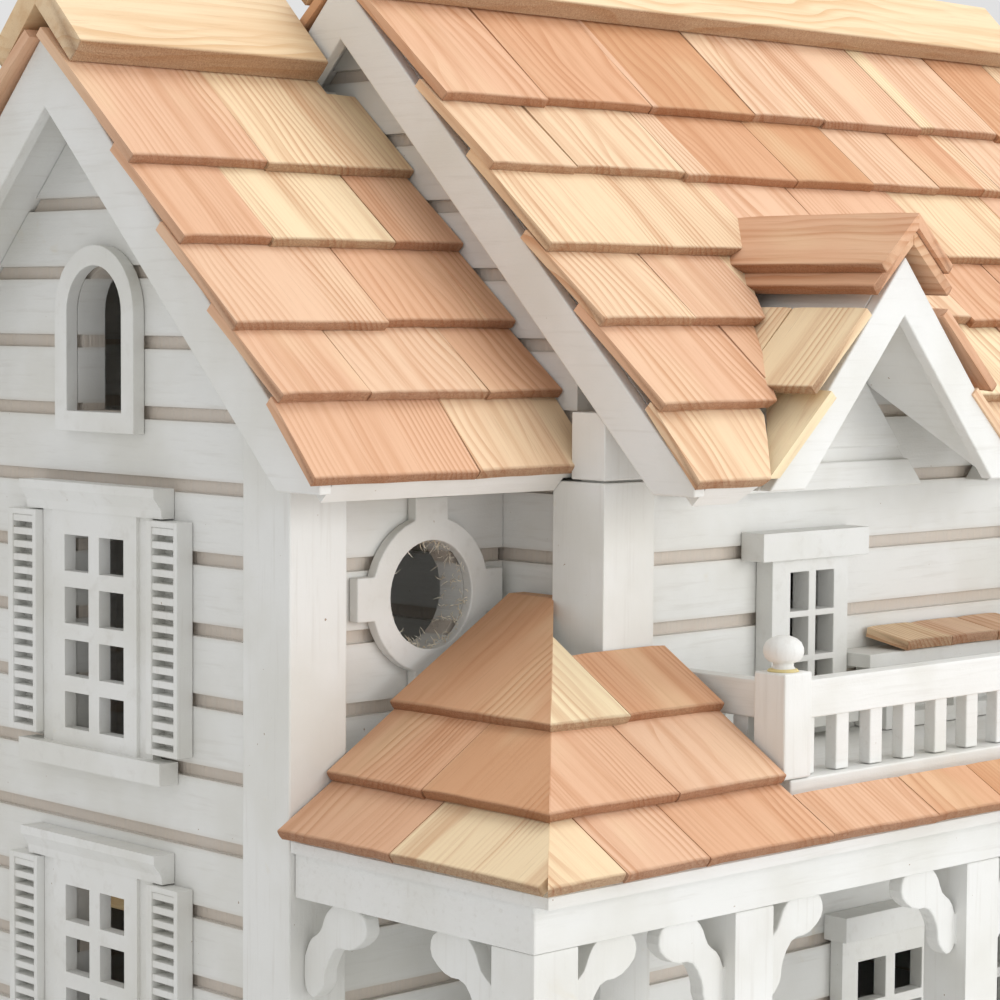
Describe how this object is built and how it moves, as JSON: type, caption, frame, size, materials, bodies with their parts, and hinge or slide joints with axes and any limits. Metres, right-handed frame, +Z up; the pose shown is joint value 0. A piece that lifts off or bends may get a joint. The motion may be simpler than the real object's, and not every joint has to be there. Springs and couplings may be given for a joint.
{
  "type": "birdhouse",
  "caption": "Wooden cottage birdhouse with a gabled wing, porch, balcony, dormers, shingled roofs and a hinged clean-out door.",
  "frame": {"origin": "middle of the footprint box at the underside of the base board", "axes": "+X right along the front, +Y towards the back, +Z up; the porch faces -Y"},
  "size_m": [0.5178, 0.4024, 0.4729],
  "materials": {
    "white_paint": "matte white paint on wood",
    "cedar": "bare sawn cedar",
    "pine": "bare planed pine",
    "brass": "satin brass hardware"
  },
  "bodies": {
    "house": {"arched_window_frame": "white_paint", "balcony_bay": "white_paint", "balcony_bay_shingles": "cedar", "balcony_floor": "white_paint", "balcony_railing": "white_paint", "base_board": "white_paint", "dormer_fascia_left": "white_paint", "dormer_fascia_right": "white_paint", "dormer_roof_boards_left": "white_paint", "dormer_roof_boards_right": "white_paint", "dormer_shingles_left": "cedar", "dormer_shingles_right": "cedar", "dormer_tympanum_left": "white_paint", "dormer_tympanum_right": "white_paint", "entry_ring": "white_paint", "front_upper_window_left": "white_paint", "front_upper_window_right": "white_paint", "hinge_frame_leaf": "brass", "hinge_pin": "brass", "left_lower_shutter_front": "white_paint", "left_lower_shutter_rear": "white_paint", "left_lower_window": "white_paint", "left_upper_shutter_front": "white_paint", "left_upper_shutter_rear": "white_paint", "left_upper_window": "white_paint", "main_back_wall": "white_paint", "main_front_post_left": "white_paint", "main_front_post_right": "white_paint", "main_front_wall": "white_paint", "main_left_wall": "white_paint", "main_rake_left": "white_paint", "main_rake_right": "white_paint", "main_ridge_cap": "pine", "main_right_wall": "white_paint", "main_roof_boards": "white_paint", "main_shingles_back": "cedar", "main_shingles_front": "cedar", "porch_beam": "white_paint", "porch_entrance_doors": "white_paint", "porch_post_corner": "white_paint", "porch_post_end": "white_paint", "porch_post_left": "white_paint", "porch_post_mid_left": "white_paint", "porch_post_mid_right": "white_paint", "porch_roof_boards": "white_paint", "porch_shingles": "cedar", "turn_button_screw": "brass", "wing_back_wall": "white_paint", "wing_front_post": "white_paint", "wing_front_wall": "white_paint", "wing_left_wall": "white_paint", "wing_nest_floor": "pine", "wing_rake": "white_paint", "wing_ridge_cap": "pine", "wing_roof_boards": "white_paint", "wing_shingles_back": "cedar", "wing_shingles_front": "cedar"},
    "door": {"cleanout_door": "white_paint", "hinge_door_leaf": "brass"},
    "button": {"turn_button": "white_paint"}
  },
  "joints": [
    {"name": "cleanout_door_hinge", "type": "hinge", "parent": "house", "child": "door", "pos_m": [-0.20705, 0.15536, 0.18], "axis": [0, 0, 1], "range_deg": [0, 100]},
    {"name": "turn_button_pivot", "type": "hinge", "parent": "house", "child": "button", "pos_m": [-0.14925, 0.15526, 0.18], "axis": [0, -1, 0], "range_deg": [0, 90]}
  ]
}
